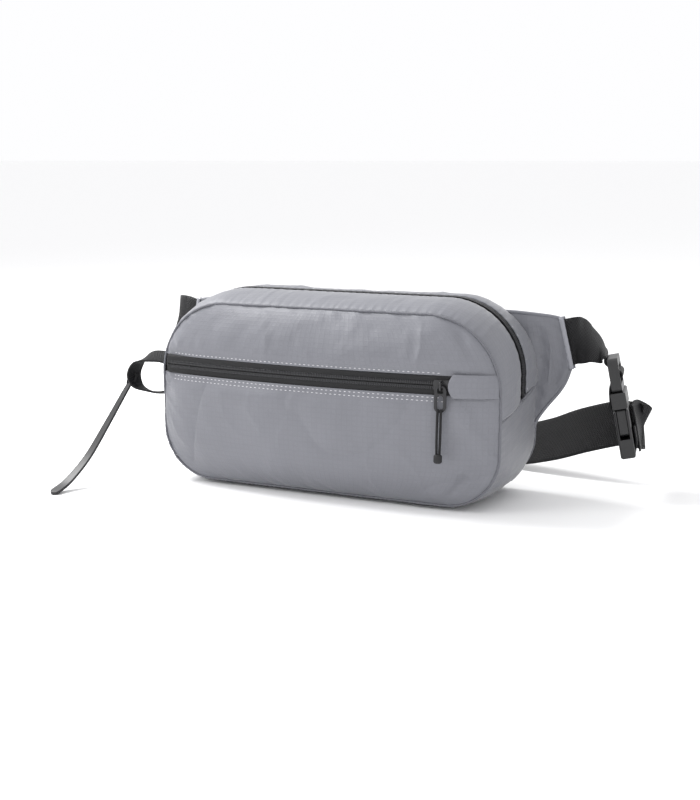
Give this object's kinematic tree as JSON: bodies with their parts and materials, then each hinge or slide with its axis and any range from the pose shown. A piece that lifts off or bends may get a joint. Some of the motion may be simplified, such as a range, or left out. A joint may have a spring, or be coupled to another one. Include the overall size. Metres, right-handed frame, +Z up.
{
  "type": "waist pack",
  "caption": "Soft waist pack with a zipped front pocket, a zipped main opening, hip wings and a webbing belt that closes with a side-release buckle.",
  "frame": {"origin": "middle of the base, on the surface that the pack stands on", "axes": "+Z up, +X across the front from left to right, +Y towards the wearer, so the zipped pocket faces -Y"},
  "size_m": [0.4636, 0.2878, 0.162],
  "materials": {
    "shell_cloth": "ripstop nylon with a slight sheen",
    "wing_cloth": "ripstop nylon over thin padding",
    "wing_binding": "folded edge",
    "seam_binding": "woven binding tape",
    "lining": "plain lining cloth",
    "foam": "closed-cell foam",
    "zip_tape": "woven tape",
    "zip_coil": "nylon coil",
    "zip_stop": "black",
    "garage_cloth": "ripstop nylon",
    "slider_metal": "satin black",
    "pull_cord": "braided",
    "webbing": "ribbed nylon webbing",
    "buckle_plastic": "moulded acetal",
    "tab_rubber": "moulded soft plastic"
  },
  "bodies": {
    "pack": {"back_foam_pad": "foam", "back_lining": "lining", "back_panel": "shell_cloth", "buckle_female": "buckle_plastic", "front_panel_lower": "shell_cloth", "front_panel_upper": "shell_cloth", "front_pocket_lining": "lining", "front_seam_binding": "seam_binding", "front_zip_coil_lower": "zip_coil", "front_zip_coil_upper": "zip_coil", "front_zip_end_stop": "zip_stop", "front_zip_garage": "garage_cloth", "front_zip_tape_lower": "zip_tape", "front_zip_tape_upper": "zip_tape", "gusset_front_band": "shell_cloth", "gusset_lower": "shell_cloth", "gusset_rear_band": "shell_cloth", "main_zip_coil_front": "zip_coil", "main_zip_coil_rear": "zip_coil", "main_zip_stops": "zip_stop", "main_zip_tape_front": "zip_tape", "main_zip_tape_rear": "zip_tape", "rear_seam_binding": "seam_binding", "side_loop": "webbing", "strap_long": "webbing", "strap_long_end": "webbing", "strap_short": "webbing", "wing_left": "wing_cloth", "wing_right": "wing_cloth", "wing_slit_binding_left": "wing_binding", "wing_slit_binding_right": "wing_binding"},
    "front_slider": {"front_slider_body": "slider_metal", "front_slider_bail": "slider_metal"},
    "front_pull": {"front_puller": "slider_metal", "front_pull_cord_left": "pull_cord", "front_pull_cord_right": "pull_cord", "front_pull_knot": "pull_cord"},
    "main_slider": {"main_slider_body": "slider_metal", "main_slider_bail": "slider_metal"},
    "main_pull": {"main_puller": "slider_metal", "main_pull_cord_left": "pull_cord", "main_pull_cord_right": "pull_cord", "main_pull_knot": "pull_cord"},
    "buckle_top": {"buckle_male": "buckle_plastic"},
    "arm_front": {"buckle_arm_front": "buckle_plastic"},
    "arm_rear": {"buckle_arm_rear": "buckle_plastic"},
    "tab": {"pull_tab": "tab_rubber", "pull_tab_cord": "pull_cord"}
  },
  "joints": [
    {"name": "front_zip_travel", "type": "hinge", "parent": "pack", "child": "front_slider", "pos_m": [0, 0.833, 0.102], "axis": [0, 0, 1], "range_deg": [-14, 0]},
    {"name": "front_pull_swing", "type": "hinge", "parent": "front_slider", "child": "front_pull", "pos_m": [0.10753, -0.06096, 0.1017], "axis": [-0.9928, -0.1194, 0], "range_deg": [0, 105]},
    {"name": "main_zip_travel", "type": "hinge", "parent": "pack", "child": "main_slider", "pos_m": [-0.088, 0.005, 0.1], "axis": [0, 1, 0], "range_deg": [0, 84]},
    {"name": "main_pull_swing", "type": "hinge", "parent": "main_slider", "child": "main_pull", "pos_m": [-0.153, 0.005, 0.0997], "axis": [0, 1, 0], "range_deg": [0, 105]},
    {"name": "buckle_release", "type": "slide", "parent": "pack", "child": "buckle_top", "axis": [-0.2045, 0, 0.9789], "range_m": [0, 0.024], "deforming": ["strap_short"]},
    {"name": "arm_front_squeeze", "type": "hinge", "parent": "buckle_top", "child": "arm_front", "pos_m": [0.22023, 0.04971, 0.07165], "axis": [0.9583, 0.2037, 0.2002], "range_deg": [0, 6], "stiffness_Nm_per_rad": 0.3},
    {"name": "arm_rear_squeeze", "type": "hinge", "parent": "buckle_top", "child": "arm_rear", "pos_m": [0.21237, 0.08829, 0.07001], "axis": [-0.9583, -0.2037, -0.2002], "range_deg": [0, 6], "stiffness_Nm_per_rad": 0.3},
    {"name": "tab_swing", "type": "hinge", "parent": "pack", "child": "tab", "pos_m": [-0.1816, -0.043, 0.087], "axis": [-1, 0, 0], "range_deg": [0, 100]}
  ]
}
